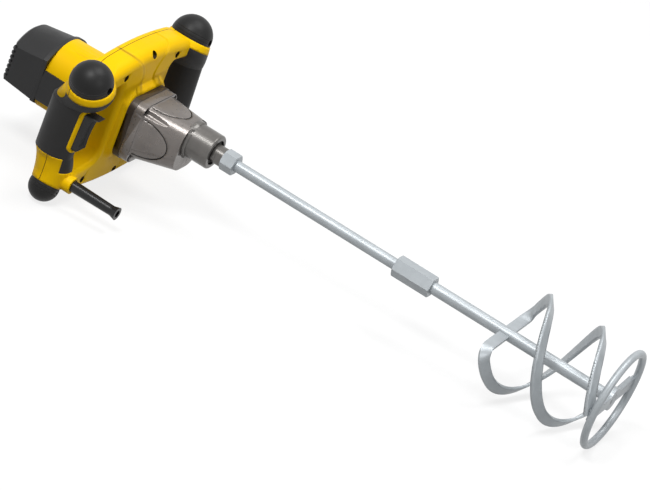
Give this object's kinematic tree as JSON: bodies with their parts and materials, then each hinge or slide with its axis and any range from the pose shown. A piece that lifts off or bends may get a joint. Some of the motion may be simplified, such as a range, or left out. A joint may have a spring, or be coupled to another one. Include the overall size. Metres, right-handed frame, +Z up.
{
  "type": "mixing drill",
  "caption": "Mixing drill: yoke casing with side grips, trigger and rubber corner bumpers, motor barrel, tapered gearbox and a long rod with a helical ribbon paddle, for stirring mortar.",
  "frame": {"origin": "on the floor under the middle of the tool's box, as it lies on its two lower bumpers and the paddle's ring", "axes": "+X forward along the tool to the paddle, +Y to the plain grip, +Z up from the floor; the spindle's line drops by 3.95 degrees towards the paddle"},
  "size_m": [0.7808, 0.26, 0.1803],
  "materials": {
    "yellow_casing": "satin moulded plastic",
    "black_plastic": "fine grained matt plastic",
    "black_rubber": "matt rubber",
    "gearbox_metal": "gunmetal coated casting",
    "dark_steel": "turned, darkened",
    "zinc_steel": "zinc plated",
    "machined_steel": "machined",
    "iron_stack": "laminated",
    "copper": "lacquered copper",
    "bronze": "plain",
    "carbon": "graphite"
  },
  "bodies": {
    "tool_body": {"casing_front": "yellow_casing", "casing_rear": "yellow_casing", "rear_cover": "black_plastic", "side_panel_near": "black_plastic", "side_panel_far": "black_plastic", "switch_body": "black_plastic", "brush_carrier": "black_plastic", "grip_near": "black_rubber", "grip_far": "black_rubber", "bumper_upper_near": "black_rubber", "bumper_upper_far": "black_rubber", "bumper_lower_near": "black_rubber", "bumper_lower_far": "black_rubber", "cord_guard": "black_rubber", "oil_seal": "black_rubber", "gearbox_housing": "gearbox_metal", "gear_plate": "gearbox_metal", "nose_sleeve": "dark_steel", "spindle_bearing": "machined_steel", "motor_front_bearing": "machined_steel", "motor_rear_bearing": "machined_steel", "casing_screws": "machined_steel", "cover_screws": "machined_steel", "bumper_screws": "machined_steel", "gearbox_screws": "machined_steel", "brush_springs": "machined_steel", "field_core": "iron_stack", "field_coils": "copper", "gear_bushes": "bronze", "brush_holders": "bronze", "carbon_brushes": "carbon"},
    "spindle_paddle": {"spindle": "dark_steel", "spindle_gear": "machined_steel", "spindle_circlip": "machined_steel", "paddle_hex": "zinc_steel", "upper_rod": "zinc_steel", "coupling_nut": "zinc_steel", "lower_rod": "zinc_steel", "ribbon_one": "zinc_steel", "ribbon_two": "zinc_steel", "ring": "zinc_steel", "cross_bar": "zinc_steel"},
    "intermediate": {"middle_shaft": "machined_steel", "middle_gear": "machined_steel"},
    "armature": {"armature_shaft": "machined_steel", "armature_core": "iron_stack", "armature_windings": "copper", "commutator": "copper", "fan": "black_plastic"},
    "trigger": {"trigger": "black_plastic"}
  },
  "joints": [
    {"name": "spindle_spin", "type": "hinge", "parent": "tool_body", "child": "spindle_paddle", "pos_m": [-0.12044, 0, 0.09461], "axis": [0.9976, 0, -0.0689], "continuous": true},
    {"name": "intermediate_spin", "type": "hinge", "parent": "tool_body", "child": "intermediate", "pos_m": [-0.22295, 0.01682, 0.09085], "axis": [0.9976, 0, -0.0689], "continuous": true},
    {"name": "armature_spin", "type": "hinge", "parent": "tool_body", "child": "armature", "pos_m": [-0.25762, 0, 0.08805], "axis": [0.9976, 0, -0.0689], "continuous": true},
    {"name": "trigger_slide", "type": "slide", "parent": "tool_body", "child": "trigger", "axis": [-0.9976, 0, 0.0689], "range_m": [0, 0.006], "stiffness_N_per_m": 800}
  ],
  "couplings": [
    {"joint": "intermediate_spin", "follows": "spindle_spin", "ratio": -3},
    {"joint": "armature_spin", "follows": "spindle_spin", "ratio": 13.5}
  ]
}
